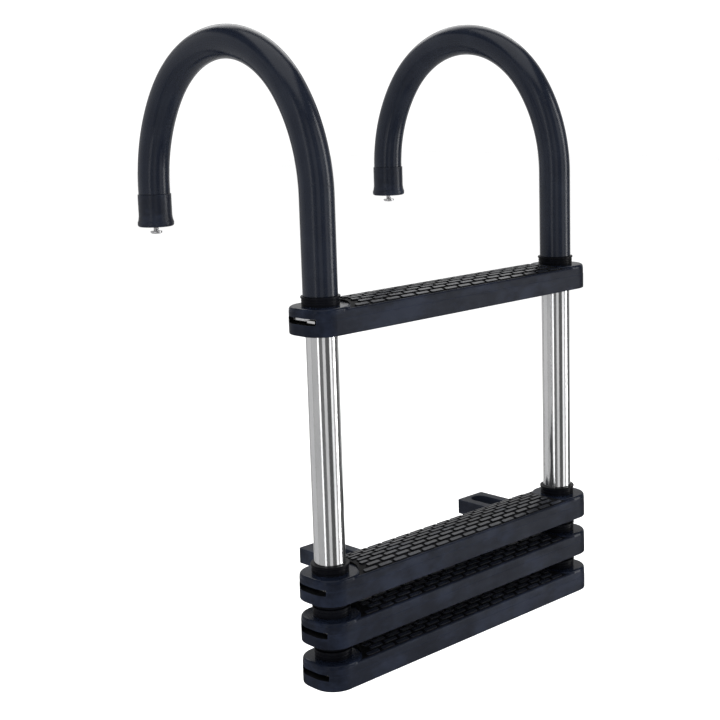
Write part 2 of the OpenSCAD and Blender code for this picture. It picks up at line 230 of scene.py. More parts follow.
def rounded(corners, radius):
    """A closed (radius, z) profile with every corner rounded."""
    steps = 3
    points = []
    count = len(corners)
    for i, (r, z) in enumerate(corners):
        r0, z0 = corners[i - 1]
        r2, z2 = corners[(i + 1) % count]
        points += fillet(r0, z0, r, z, r2, z2, radius, steps)
    return points


def outline(cx, cy, hx, hy, radius, z, steps=12):
    """A rounded rectangle of points, counter-clockwise."""
    points = []
    for sx, sy, start in ((1, 1, 0), (-1, 1, 90), (-1, -1, 180), (1, -1, 270)):
        for i in range(steps + 1):
            t = math.radians(start + 90 * i / steps)
            x = cx + sx * (hx - radius) + radius * math.cos(t)
            y = cy + sy * (hy - radius) + radius * math.sin(t)
            points.append((x, y, z))
    return points


def box_mesh(bm, x0, x1, y0, y1, z0, z1):
    """A plain box, for cutters and the floor."""
    corners = [(x0, y0), (x1, y0), (x1, y1), (x0, y1)]
    rows = [[bm.verts.new((x, y, z)) for x, y in corners] for z in (z0, z1)]
    for j in range(4):
        k = (j + 1) % 4
        bm.faces.new((rows[0][j], rows[0][k], rows[1][k], rows[1][j]))
    bm.faces.new(rows[0][::-1])
    bm.faces.new(rows[1])


def cut(mesh, cutters):
    """The mesh less every cutter, each a function that draws into a bmesh."""
    for draw in cutters:
        bm = bmesh.new()
        draw(bm)
        bmesh.ops.recalc_face_normals(bm, faces=bm.faces)
        tool_mesh = bpy.data.meshes.new("cutter")
        bm.to_mesh(tool_mesh)
        bm.free()
        tool = bpy.data.objects.new("cutter", tool_mesh)
        blank = bpy.data.objects.new("blank", mesh)
        for obj in (tool, blank):
            bpy.context.scene.collection.objects.link(obj)
        modifier = blank.modifiers.new("cut", "BOOLEAN")
        modifier.operation = "DIFFERENCE"
        modifier.solver = "EXACT"
        modifier.object = tool
        bpy.context.view_layer.update()
        done = blank.evaluated_get(bpy.context.evaluated_depsgraph_get())
        mesh = bpy.data.meshes.new_from_object(done)
        for obj in (tool, blank):
            bpy.data.objects.remove(obj)
    return mesh


# ---------- material helpers ----------


class Recipe:
    """A procedural material: a Principled shader and the patterns that feed it."""

    def __init__(self, name, **settings):
        self.material = bpy.data.materials.new(name)
        self.material.use_nodes = True
        self.tree = self.material.node_tree
        self.shader = self.tree.nodes["Principled BSDF"]
        for socket, value in settings.items():
            self.shader.inputs[socket.replace("_", " ")].default_value = value
        self.place = self.node("ShaderNodeTexCoord").outputs
        self.normal = None

    def node(self, kind, **settings):
        made = self.tree.nodes.new(kind)
        for key, value in settings.items():
            setattr(made, key, value)
        return made

    def feed(self, socket, value):
        if isinstance(value, (int, float, tuple, list)):
            socket.default_value = value
        else:
            self.tree.links.new(value, socket)

    def stretched(self, scale, use_uv=False):
        """Object coordinates, or the UV map's, scaled differently along each axis."""
        made = self.node("ShaderNodeMapping")
        self.feed(made.inputs["Vector"], self.place["UV" if use_uv else "Object"])
        made.inputs["Scale"].default_value = scale
        return made.outputs["Vector"]

    def noise(self, scale, detail=3.0, rough=0.5, vector=None):
        made = self.node("ShaderNodeTexNoise")
        self.feed(made.inputs["Vector"], vector or self.place["Object"])
        made.inputs["Scale"].default_value = scale
        made.inputs["Detail"].default_value = detail
        made.inputs["Roughness"].default_value = rough
        return made.outputs["Fac"]

    def ramp(self, factor, *stops):
        """A colour ramp; each stop is (place, grey) or (place, (r, g, b))."""
        made = self.node("ShaderNodeValToRGB")
        self.feed(made.inputs["Fac"], factor)
        elements = made.color_ramp.elements
        while len(elements) < len(stops):
            elements.new(0.5)
        for element, (place, value) in zip(elements, stops):
            element.position = place
            colour = value if isinstance(value, tuple) else (value, value, value)
            element.color = (*colour, 1.0)
        return made.outputs["Color"]

    def mix(self, factor, first, second):
        """One colour fading into another. A Mix node has sockets for numbers and vectors too."""
        made = self.node("ShaderNodeMix", data_type="RGBA")
        colours = [socket for socket in made.inputs if socket.type == "RGBA"]
        self.feed(made.inputs["Factor"], factor)
        self.feed(colours[0], self.colour(first))
        self.feed(colours[1], self.colour(second))
        return next(socket for socket in made.outputs if socket.type == "RGBA")

    @staticmethod
    def colour(value):
        return (*value, 1.0) if isinstance(value, tuple) and len(value) == 3 else value

    def math(self, operation, first, second=0.0):
        made = self.node("ShaderNodeMath", operation=operation)
        self.feed(made.inputs[0], first)
        self.feed(made.inputs[1], second)
        return made.outputs[0]

    def bump(self, height, depth, strength):
        """Adds a relief of the given depth, in metres."""
        made = self.node("ShaderNodeBump")
        made.inputs["Strength"].default_value = strength
        made.inputs["Distance"].default_value = depth
        self.feed(made.inputs["Height"], height)
        if self.normal:
            self.feed(made.inputs["Normal"], self.normal)
        self.normal = made.outputs["Normal"]

    def edges(self, radius):
        """How worn a point is: 1 on an outside or inside edge, 0 on a flat face."""
        soft = self.node("ShaderNodeBevel", samples=4)
        soft.inputs["Radius"].default_value = radius
        true = self.node("ShaderNodeNewGeometry")
        product = self.node("ShaderNodeVectorMath", operation="DOT_PRODUCT")
        self.feed(product.inputs[0], soft.outputs["Normal"])
        self.feed(product.inputs[1], true.outputs["Normal"])
        return self.math("MULTIPLY", self.math("SUBTRACT", 1.0, product.outputs["Value"]), 4.0)

    def done(self, colour, roughness):
        self.feed(self.shader.inputs["Base Color"], colour)
        self.feed(self.shader.inputs["Roughness"], roughness)
        if self.normal:
            self.feed(self.shader.inputs["Normal"], self.normal)
        return self.material


def moulded_plastic(name, dark, light, rough, specular):
    """Moulded plastic: cloudy colour, smudges, dust, a fine grain, flow marks and rubbed edges."""
    recipe = Recipe(name, Specular_IOR_Level=specular)
    clouds = recipe.noise(38, 4, 0.6)
    streaks = recipe.noise(60, 3, 0.55, recipe.stretched((0.5, 1.0, 3.0)))
    tone = recipe.math("ADD", recipe.math("MULTIPLY", clouds, 0.65), recipe.math("MULTIPLY", streaks, 0.35))
    colour = recipe.mix(recipe.ramp(tone, (0.35, 0.0), (0.65, 1.0)), dark, light)
    smears = recipe.noise(24, 5, 0.68, recipe.stretched((0.7, 1.0, 1.3)))
    smudges = recipe.ramp(smears, (0.48, 0.0), (0.62, 0.5))
    colour = recipe.mix(smudges, colour, tuple(2.3 * c for c in light))
    dust = recipe.ramp(recipe.noise(420, 2, 0.5), (0.62, 0.0), (0.78, 0.35))
    colour = recipe.mix(dust, colour, tuple(2.1 * c for c in light))
    patches = recipe.ramp(recipe.noise(90, 3), (0.3, 0.25), (0.7, 1.0))
    rubbed = recipe.math("MULTIPLY", recipe.edges(0.9 * MM), patches)
    colour = recipe.mix(recipe.math("MINIMUM", rubbed, 0.5), colour, tuple(3.2 * c for c in light))
    grain = recipe.noise(2600, 2, 0.5)
    recipe.bump(grain, 0.035 * MM, 0.6)
    recipe.bump(recipe.noise(55, 3, 0.6, recipe.stretched((0.6, 1.0, 2.0))), 0.25 * MM, 0.35)
    shine = recipe.ramp(tone, (0.3, rough + 0.06), (0.7, rough - 0.05))
    return recipe.done(colour, shine)


def sleeve_plastic():
    """Extruded sleeve: long faint streaks that follow the tube, soft scuffs and a satin gloss."""
    recipe = Recipe("sleeve_plastic", Specular_IOR_Level=0.25)
    lines = recipe.noise(1.0, 4, 0.6, recipe.stretched((90.0, 1.6, 1.0), use_uv=True))
    clouds = recipe.noise(28, 4, 0.6)
    dark, light, cloudy = (0.0042, 0.0058, 0.0110), (0.0068, 0.0090, 0.0156), (0.0100, 0.0130, 0.0205)
    colour = recipe.mix(recipe.ramp(lines, (0.3, 0.0), (0.7, 1.0)), dark, light)
    colour = recipe.mix(recipe.ramp(clouds, (0.45, 0.0), (0.75, 0.5)), colour, cloudy)
    recipe.bump(lines, 0.05 * MM, 0.3)
    recipe.bump(recipe.noise(900, 2, 0.5), 0.02 * MM, 0.5)
    waves = recipe.noise(1.0, 2, 0.5, recipe.stretched((7.0, 9.0, 1.0), use_uv=True))
    recipe.bump(waves, 0.3 * MM, 0.12)
    scuffs = recipe.ramp(recipe.noise(140, 5, 0.65), (0.55, 0.0), (0.72, 0.12))
    shine = recipe.math("ADD", recipe.ramp(lines, (0.3, 0.19), (0.7, 0.26)), scuffs)
    return recipe.done(colour, shine)


def polished_steel():
    """Drawn and polished tube: fine lines along its length, faint smears and a few nicks."""
    recipe = Recipe("polished_stainless", Metallic=1.0)
    lines = recipe.noise(1.0, 3, 0.6, recipe.stretched((260.0, 3.0, 1.0), use_uv=True))
    smears = recipe.noise(45, 4, 0.6, recipe.stretched((1.0, 1.0, 0.35)))
    bright, dull = (0.74, 0.74, 0.745), (0.63, 0.635, 0.645)
    colour = recipe.mix(recipe.ramp(smears, (0.35, 0.0), (0.75, 1.0)), bright, dull)
    recipe.bump(lines, 0.004 * MM, 0.3)
    specks = recipe.noise(700, 1, 0.4, recipe.stretched((1.0, 1.0, 0.08)))
    recipe.bump(recipe.ramp(specks, (0.74, 0.0), (0.80, 1.0)), 0.006 * MM, 0.3)
    along = recipe.ramp(lines, (0.3, 0.09), (0.7, 0.15))
    shine = recipe.math("ADD", along, recipe.ramp(smears, (0.4, 0.0), (0.8, 0.06)))
    return recipe.done(colour, shine)


def plain_steel(name, tone, rough):
    """Turned or stamped steel for clips, screws, bolts and nuts."""
    recipe = Recipe(name, Metallic=1.0)
    marks = recipe.noise(900, 3, 0.6, recipe.stretched((1.0, 0.12, 1.0)))
    colour = recipe.mix(recipe.ramp(marks, (0.3, 0.0), (0.7, 1.0)), tone, tuple(0.8 * c for c in tone))
    recipe.bump(marks, 0.02 * MM, 0.5)
    shine = recipe.ramp(recipe.noise(300, 3), (0.3, rough - 0.06), (0.7, rough + 0.08))
    return recipe.done(colour, shine)


def natural_nylon():
    """Uncoloured nylon for the parts inside the tubes."""
    recipe = Recipe("natural_nylon", Subsurface_Weight=0.15, Specular_IOR_Level=0.5)
    clouds = recipe.noise(120, 3, 0.5)
    colour = recipe.mix(recipe.ramp(clouds, (0.3, 0.0), (0.7, 1.0)), (0.62, 0.60, 0.52), (0.72, 0.70, 0.63))
    recipe.bump(recipe.noise(1500, 2), 0.02 * MM, 0.5)
    return recipe.done(colour, recipe.ramp(clouds, (0.3, 0.38), (0.7, 0.5)))


STEP_PLASTIC = moulded_plastic(
    "step_plastic", (0.0030, 0.0042, 0.0084), (0.0050, 0.0069, 0.0130), rough=0.40, specular=0.08)
PAD_PLASTIC = moulded_plastic(
    "pad_plastic", (0.0028, 0.0040, 0.0080), (0.0047, 0.0065, 0.0122), rough=0.20, specular=0.10)
# The tread floor plastic is far darker than the moulding's own colour: it is painted shade for the gaps
# between the blocks, the blocks' sides and the inside of the clip slots
FLOOR_SHADE_PLASTIC = moulded_plastic(
    "tread_floor_painted_shade", (0.0012, 0.0013, 0.0018), (0.0022, 0.0024, 0.0032), rough=0.6, specular=0.10)
BLOCK_PLASTIC = moulded_plastic(
    "tread_block_plastic", (0.0030, 0.0037, 0.0064), (0.0054, 0.0066, 0.0104), rough=0.28, specular=0.20)
COLLAR_PLASTIC = moulded_plastic(
    "collar_plastic", (0.0010, 0.0011, 0.0018), (0.0017, 0.0019, 0.0030), rough=0.34, specular=0.06)
CAP_RUBBER = moulded_plastic(
    "cap_rubber", (0.0036, 0.0050, 0.0092), (0.0060, 0.0080, 0.0142), rough=0.30, specular=0.20)
ARM_PLASTIC = moulded_plastic(
    "standoff_plastic", (0.0050, 0.0066, 0.0118), (0.0080, 0.0106, 0.0176), rough=0.44, specular=0.10)
SLEEVE_PLASTIC = sleeve_plastic()
STAINLESS = polished_steel()
CLIP_STEEL = plain_steel("clip_steel", (0.78, 0.78, 0.79), 0.22)
FASTENER_STEEL = plain_steel("fastener_steel", (0.72, 0.72, 0.73), 0.2)
NYLON = natural_nylon()

# ---------- steps ----------


def step_shell(base):
    """The plain block of a step: rounded corners, a soft shoulder, a rounded foot and a fine ledge."""
    shoulder = 2.8 * MM
    foot = 0.9 * MM
    ledge_z = 16 * MM
    ledge = 0.22 * MM
    profile = []
    for i in range(4):
        t = math.radians(30 * i)
        profile.append((foot * (1 - math.sin(t)), foot * (1 - math.cos(t))))
    profile.append((0.0, ledge_z - ledge))
    profile.append((ledge, ledge_z))
    for i in range(8):
        t = math.radians(90 * i / 7)
        profile.append((ledge + shoulder * (1 - math.cos(t)), RIM_H - shoulder * (1 - math.sin(t))))
    bm = bmesh.new()
    rings = []
    for inset, z in profile:
        rings.append(outline(0, 0, STEP_X - inset, STEP_Y - inset, CORNER_R - inset, base + z, 16))
    skin(bm, rings, "capped")
    bmesh.ops.recalc_face_normals(bm, faces=bm.faces)
    mesh = bpy.data.meshes.new("shell")
    bm.to_mesh(mesh)
    bm.free()
    return mesh


def field_end(y, hub):
    """Where the tread field ends at a given y, measured along X from the middle."""
    return RAIL_X - math.sqrt(max(hub ** 2 - y ** 2, 0.0))


def draw_field_recess(base):
    """Cutter for the shallow bed that the tread stands in."""
    def draw(bm):
        ys = [FIELD_HALF * (i / 12 - 1) for i in range(25)]
        hub = PAD_R - PAD_LAP
        loop = [(field_end(y, hub), y) for y in ys] + [(-field_end(y, hub), y) for y in reversed(ys)]
        floor, above = RIM_H - 1.6 * MM, RIM_H + 2 * MM
        skin(bm, [[(x, y, base + z) for x, y in loop] for z in (floor, above)], "capped")
    return draw


def draw_pockets(base, has_channels):
    """Cutter for the hollows between the ribs on the underside."""
    def draw(bm):
        spans = list(zip(RIB_XS, RIB_XS[1:]))
        for i, (left, right) in enumerate(spans):
            x0, x1 = left + WALL / 2, right - WALL / 2
            y1 = STEP_Y - WALL
            if has_channels and i in (0, len(spans) - 1):
                box_mesh(bm, x0, x1, -y1, STEP_Y + WALL, base - WALL, base + POCKET_H)
            else:
                box_mesh(bm, x0, x1, WALL / 2, y1, base - WALL, base + POCKET_H)
                box_mesh(bm, x0, x1, -y1, -WALL / 2, base - WALL, base + POCKET_H)
    return draw


def draw_hubs(base, tube_r, floor):
    """Cutter for the tube holes and the seats of the collars."""
    def draw(bm):
        slip = 0.05 * MM
        for side in SIDES.values():
            profile = [
                (tube_r + slip, base + floor), (tube_r + slip, base + RIM_H - COLLAR_SEAT),
                (COLLAR_R + slip, base + RIM_H - COLLAR_SEAT), (COLLAR_R + slip, base + RIM_H + WALL),
            ]
            lathe(bm, side * RAIL_X, 0, profile, "capped", 64)
    return draw


def draw_slots(base):
    """Cutter for the clips' slots, which run from a step's ends to a little past the tubes' axes."""
    def draw(bm):
        corner = 0.8 * MM
        start, end = RAIL_X - SLOT_PAST_AXIS, STEP_X + WALL
        mouth = outline(0, base + SLOT_Z + SLOT_H / 2, SLOT_HALF, SLOT_H / 2, corner, 0, 3)
        for xs in ((-end, -start), (start, end)):
            skin(bm, [[(x, y, z) for y, z, _ in mouth] for x in xs], "capped")
    return draw


def paint_slot_shade(mesh, base):
    """Paints shade into the clip slots: their inside gets the dull black of the tread's bed."""
    spare = 0.05 * MM
    inner = RAIL_X - SLOT_PAST_AXIS - spare
    for polygon in mesh.polygons:
        corners = [mesh.vertices[i].co for i in polygon.vertices]
        if all(abs(c.x) > inner and abs(c.y) < SLOT_HALF + spare and
               -spare < c.z - base - SLOT_Z < SLOT_H + spare for c in corners):
            polygon.material_index = SLOT_PAINTED_SHADE


def step_body(level):
    """A step without its tread: the shell less its hollows. The tubes end inside the lowest step."""
    base = STEP_Z[level]
    is_lowest = level == "fourth"
    has_channels = level == "second"
    cutters = [
        draw_field_recess(base),
        draw_pockets(base, has_channels),
        draw_hubs(base, TUBE_R[level], WALL if is_lowest else -WALL),
        draw_slots(base),
    ]
    mesh = cut(step_shell(base), cutters)
    # Painted shade inside the clip slots
    paint_slot_shade(mesh, base)
    materials = [STEP_PLASTIC, FLOOR_SHADE_PLASTIC]
    obj = finish_object(
        level + "_step_body", mesh, materials, LEVELS[level], [level + "_step"], 35)
    bevel = obj.modifiers.new("soft_edges", "BEVEL")
    bevel.limit_method = "ANGLE"
    bevel.angle_limit = math.radians(50)
    bevel.width = 0.3 * MM
    bevel.segments = 2
    weighted = obj.modifiers.new("even_shading", "WEIGHTED_NORMAL")
    weighted.keep_sharp = True
    return obj


def crown(y):
    """Height of the tread's surface over the step's underside."""
    return RIM_H + CROWN_H - (CROWN_R - math.sqrt(CROWN_R ** 2 - y ** 2))


def tread_bed(bm, base):
    """The crowned slab under the blocks."""
    groove = 0.25 * MM
    low = RIM_H - 1.8 * MM
    half = FIELD_HALF - groove
    uv = bm.loops.layers.uv.verify()
    rows = []
    # The bed gets the darker floor plastic, painted shade of the gaps between the blocks
    for i in range(33):
        y = half * (i / 16 - 1)
        end = field_end(y, PAD_R - PAD_LAP)
        xs = [end * (k / 12 - 1) for k in range(25)]
        row = [(-end, y, base + low)] + [(x, y, base + crown(y)) for x in xs] + [(end, y, base + low)]
        rows.append([bm.verts.new(p) for p in row])
    for a, b in zip(rows, rows[1:]):
        for i in range(len(a) - 1):
            face = bm.faces.new((a[i], a[i + 1], b[i + 1], b[i]))
            face.material_index = TREAD_FLOOR_SHADE
            for loop in face.loops:
                loop[uv].uv = loop.vert.co.xy
    sides = [rows[0], rows[-1], [row[0] for row in rows] + [row[-1] for row in reversed(rows)]]
    for side in sides:
        bm.faces.new(side).material_index = TREAD_FLOOR_SHADE


def pad_reach(turn):
    """How far a step's plain end goes from the tube's axis in one direction: to the arc that ends the tread
    field, or to the step's outline. A turn of 0 points away from the step's middle."""
    along, across = math.cos(turn), math.sin(turn)
    near, far = COLLAR_R, STEP_X
    for _ in range(30):
        r = (near + far) / 2
        x, y = RAIL_X + r * along, abs(r * across)
        dx = x - (STEP_X - CORNER_R)
        dy = y - (STEP_Y - CORNER_R)
        outside = math.hypot(max(dx, 0), max(dy, 0)) + min(max(dx, dy), 0) > CORNER_R - PAD_INSET
        if outside or (along < 0 and r > PAD_R):
            far = r
        else:
            near = r
    return near


def end_pad(bm, base, side):
    """The plain flat end of a step, a little above the rim, from the collar out to a rounded edge."""
    edge = 3 * MM
    foot = 1.8 * MM
    top = base + RIM_H + PAD_RISE
    turns = [2 * math.pi * i / 144 for i in range(144)]
    reaches = [pad_reach(turn) for turn in turns]

    def ring(distances, z):
        return [
            (side * (RAIL_X + r * math.cos(turn)), r * math.sin(turn), z) for turn, r in zip(turns, distances)
        ]

    rings = [ring([COLLAR_R] * len(turns), top)]
    for i in range(7):
        t = math.radians(15 * i)
        inset, drop = edge * (1 - math.sin(t)), edge * (1 - math.cos(t))
        rings.append(ring([reach - inset for reach in reaches], top - drop))
    rings.append(ring(reaches, base + RIM_H - foot))
    skin(bm, rings, "open", TREAD_PAD)


def block(bm, base, x0, x1, y):
    """One raised block, its top edges rounded and its ends blunt, tilted with the crown under it."""
    slope = math.asin(y / CROWN_R)
    hx, hy = (x1 - x0) / 2, BLOCK_W / 2
    corner = 1.8 * MM
    turn = Matrix.Translation(((x0 + x1) / 2, y, base + crown(y))) @ Matrix.Rotation(-slope, 4, "X")
    rounding = (
        (0, -1.2 * MM),
        (0.08 * MM, BLOCK_H - 0.45 * MM),
        (0.2 * MM, BLOCK_H - 0.14 * MM),
        (0.45 * MM, BLOCK_H),
    )
    rings = []
    for inset, z in rounding:
        shape = outline(0, 0, hx - inset, hy - inset, corner - inset, z, 4)
        rings.append([turn @ Vector(p) for p in shape])
    rows = skin(bm, rings, "capped", TREAD_FLOOR_SHADE)
    # The top and the fine bevel round it are of the shinier plastic; the block's sides keep the darker floor
    # plastic, painted shade of the gaps between the blocks
    upper = set(rows[2] + rows[3])
    for vert in rows[3]:
        for face in vert.link_faces:
            if upper.issuperset(face.verts):
                face.material_index = TREAD_BLOCK


def block_field(bm, base):
    """All the blocks, each second row moved along by half a block and cut short beside the ends."""
    shortest = 5.5 * MM
    for row in range(BLOCK_ROWS):
        y = (row - (BLOCK_ROWS - 1) / 2) * ROW_PITCH
        limit = field_end(max(abs(y) - BLOCK_W / 2, 0), PAD_R + BLOCK_MARGIN)
        count = BLOCKS_PER_ROW - row % 2
        for i in range(count):
            x = (i - (count - 1) / 2) * BLOCK_PITCH
            x0 = max(x - BLOCK_LEN / 2, -limit)
            x1 = min(x + BLOCK_LEN / 2, limit)
            if x1 - x0 > shortest:
                block(bm, base, x0, x1, y)


def step_tread(level):
    """The top of a step: the crowned bed with its blocks, and the flat ends."""
    bm = bmesh.new()
    tread_bed(bm, STEP_Z[level])
    block_field(bm, STEP_Z[level])
    for side in SIDES.values():
        end_pad(bm, STEP_Z[level], side)
    materials = [FLOOR_SHADE_PLASTIC, BLOCK_PLASTIC, PAD_PLASTIC]
    obj = finish_mesh(
        level + "_step_tread", bm, materials, LEVELS[level], [level + "_step"], 50)
    weighted = obj.modifiers.new("even_shading", "WEIGHTED_NORMAL")
    weighted.keep_sharp = True
    return obj


# ---------- collars, guides and clips ----------


def step_collar(level, side):
    """Collar with a lip at its top and three fine grooves round it."""
    base = STEP_Z[level] + RIM_H
    groove_pitch = 2.8 * MM
    lip_h = 1.7 * MM
    lip_r = COLLAR_R + 0.7 * MM
    groove = 0.35 * MM
    bore = TUBE_R[level] + 0.05 * MM
    profile = [(COLLAR_R, base - COLLAR_SEAT), (COLLAR_R, base + 1.2 * MM)]
    for i in range(1, 4):
        z = base + i * groove_pitch
        profile += [
            (COLLAR_R, z - 0.3 * MM), (COLLAR_R - groove, z), (COLLAR_R - groove, z + 0.5 * MM),
            (COLLAR_R, z + 0.8 * MM),
        ]
    top = base + COLLAR_H
    profile += [(COLLAR_R, top - lip_h - 0.3 * MM), (lip_r, top - lip_h)]
    profile += fillet(lip_r, base, lip_r, top, bore, top, 0.5 * MM)
    profile += fillet(lip_r, top, bore, top, bore, base, 0.4 * MM)
    profile += [(bore, base - COLLAR_SEAT)]
    bm = bmesh.new()
    lathe(bm, SIDES[side] * RAIL_X, 0, profile)
    node = f"{level}_{side}_collar"
    return finish_mesh(node + "_moulding", bm, [COLLAR_PLASTIC], LEVELS[level], [node], 40)


def bush(node, body, bore_r, passing_r, base):
    """Guide bush with its flange, in the lower end of a tube."""
    low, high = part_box(node)
    flange_r = (high.x - low.x) / 2
    inner = passing_r + 0.3 * MM
    flange = [(inner, low.z), (flange_r, low.z), (flange_r, base)]
    corners = flange + [(bore_r, base), (bore_r, high.z), (inner, high.z)]
    bm = bmesh.new()
    lathe(bm, (low.x + high.x) / 2, 0, rounded(corners, 0.35 * MM))
    return finish_mesh(node + "_moulding", bm, [COLLAR_PLASTIC], body, [node], 40)


def plain_ring(node, body, inner_r, material, edge):
    """A plain round sleeve with softened ends."""
    low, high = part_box(node)
    outer_r = (high.x - low.x) / 2
    corners = [(inner_r, low.z), (outer_r, low.z), (outer_r, high.z), (inner_r, high.z)]
    bm = bmesh.new()
    lathe(bm, (low.x + high.x) / 2, (low.y + high.y) / 2, rounded(corners, edge))
    return finish_mesh(node + "_ring", bm, [material], body, [node], 40)


def clips(level):
    """The two U-shaped plates of a step, each round its tube. Some have a tab in the slot's mouth."""
    low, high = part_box(level + "_clips")
    throat = TUBE_R[level] - 1.6 * MM
    outer = STEP_X - RAIL_X - 9 * MM
    tab = high.x - RAIL_X - outer
    tab_w = 11 * MM
    reach = 8 * MM
    edge = 0.3 * MM
    root = TUBE_R[level] + 1.5 * MM
    bm = bmesh.new()
    for side in SIDES.values():
        rings = []
        for inset, z in ((edge, low.z), (0, low.z + edge), (0, high.z - edge), (edge, high.z)):
            half = high.y - inset
            slot_half = throat + inset
            heel, toe = -reach + inset, outer - inset
            shape = [(heel, half), (toe, half)]
            if tab > MM:
                tab_y = tab_w - half - 2 * inset
                shape += [(toe, tab_y), (toe + tab, tab_y), (toe + tab, -half)]
            else:
                shape += [(toe, -half)]
            shape += [(heel, -half), (heel, -slot_half), (root + inset, -slot_half)]
            shape += [(root + inset, slot_half), (heel, slot_half)]
            rings.append([(side * (RAIL_X + x), y, z) for x, y in shape])
        skin(bm, rings, "capped")
    return finish_mesh(
        level + "_clip_plates", bm, [CLIP_STEEL], LEVELS[level], [level + "_clips"], 30)


# ---------- hooks ----------


def hook_route(z0, z1):
    """Points (y, z, heading) along the tube's axis, from z0 on the long leg to z1 on the free leg.
    The bend is two wide side arcs and a tighter crown arc that meet on a 3-4-5 slope."""
    spacing = 4 * MM
    rise = HOOK_TOP - SPRING_Z
    diff = (rise - REACH / 2) / (BEND_SIN + BEND_COS - 1)
    side_r = REACH / 2 + diff * BEND_COS
    crown_r = side_r - diff
    slope = math.atan2(BEND_SIN, BEND_COS)
    arcs = [
        (side_r, SPRING_Z, side_r, math.pi, math.pi - slope),
        (REACH / 2, SPRING_Z + diff * BEND_SIN, crown_r, math.pi - slope, slope),
        (REACH - side_r, SPRING_Z, side_r, slope, 0.0),
    ]
    route = []
    legs = max(2, round((SPRING_Z - z0) / (2 * spacing)))
    for i in range(legs):
        route.append((0.0, z0 + (SPRING_Z - z0) * i / legs, math.pi / 2))
    for cy, cz, radius, start, end in arcs:
        count = round(radius * (start - end) / spacing)
        for i in range(count):
            t = start + (end - start) * i / count
            route.append((cy + radius * math.cos(t), cz + radius * math.sin(t), t - math.pi / 2))
    legs = max(2, round((SPRING_Z - z1) / (2 * spacing)))
    for i in range(legs + 1):
        route.append((REACH, SPRING_Z - (SPRING_Z - z1) * i / legs, -math.pi / 2))
    return route


def pipe(bm, x, route, r_out, r_in, edge):
    """A bent pipe along a route in the plane at x, with softened ends."""
    count = 72

    def ring(station, radius, shift=0.0):
        y, z, heading = station
        y += shift * math.cos(heading)
        z += shift * math.sin(heading)
        points = []
        for i in range(count):
            t = 2 * math.pi * i / count
            side = radius * math.sin(t)
            across = x + radius * math.cos(t)
            points.append((across, y - side * math.sin(heading), z + side * math.cos(heading)))
        return points

    first, last = route[0], route[-1]
    rings = [ring(first, r_out - edge), ring(first, r_out, edge)]
    rings += [ring(station, r_out) for station in route[1:-1]]
    rings += [ring(last, r_out, -edge), ring(last, r_out - edge), ring(last, r_in)]
    rings += [ring(station, r_in) for station in reversed(route[1:-1])]
    rings += [ring(first, r_in)]
    skin(bm, rings, "joined")


def hooked_tube(side, x):
    """A rail tube, from its lower end over the hook to the end plug on the free leg."""
    node = side + "_rail_tube"
    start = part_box(node)[0].z
    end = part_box(side + "_end_plug")[0].z
    bm = bmesh.new()
    pipe(bm, x, hook_route(start, end), RAIL_R, RAIL_R - TUBE_WALL, 0.3 * MM)
    finish_mesh(node + "_bent", bm, [STAINLESS], "frame", [node], 40)


def hook_sleeve(side, x):
    """The soft sleeve over the hook, from the top step's collar to the top of the cap."""
    node = side + "_hook_sleeve"
    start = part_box(node)[0].z
    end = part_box(side + "_hook_cap")[1].z
    bm = bmesh.new()
    pipe(bm, x, hook_route(start, end), SLEEVE_R, RAIL_R, 0.4 * MM)
    finish_mesh(node + "_bent", bm, [SLEEVE_PLASTIC], "frame", [node], 40)


def hook_cap(side, x):
    """Rubber cap: a rounded foot, a flare that eases into a straight body, and a hole for the screw."""
    node = side + "_hook_cap"
    z0, z1 = (corner.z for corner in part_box(node))
    body_r = SLEEVE_R + 1.0 * MM
    flare_r = radius_of(node)
    neck_r = flare_r - 0.9 * MM
    neck_z = z0 + 6.4 * MM
    neck_h = 6 * MM
    floor_z = z0 + 6 * MM
    profile = fillet(CAP_HOLE_R, z0, flare_r, z0, flare_r, z1, 2.4 * MM, 8)
    profile += fillet(flare_r, z0, flare_r, z0 + 5 * MM, body_r, z0 + 7 * MM, 1.2 * MM)
    for i in range(1, 6):
        t = i / 6
        ease = t * t * (3 - 2 * t)
        profile.append((neck_r + (body_r - neck_r) * ease, neck_z + neck_h * t))
    profile.append((body_r, z0 + 13 * MM))
    profile += fillet(body_r, z0, body_r, z1, RAIL_R, z1, 0.5 * MM)
    profile += [(SLEEVE_R, z1), (SLEEVE_R - 0.2 * MM, z1 - 0.5 * MM), (RAIL_R, z1 - 0.5 * MM)]
    profile += [(RAIL_R, floor_z), (CAP_HOLE_R, floor_z)]
    profile += [(CAP_HOLE_R, z0 + 0.8 * MM), (CAP_HOLE_R + 0.8 * MM, z0)]
    bm = bmesh.new()
    lathe(bm, x, REACH, profile)
    finish_mesh(node + "_moulding", bm, [CAP_RUBBER], "frame", [node], 40)


def hook_pieces(side):
    """One hook: its tube, sleeve, cap, plug and screw."""
    x = SIDES[side] * RAIL_X
    hooked_tube(side, x)
    hook_sleeve(side, x)
    hook_cap(side, x)
    plain_ring(side + "_end_plug", "frame", CAP_HOLE_R, NYLON, 0.5 * MM)
    cap_screw(side, x)


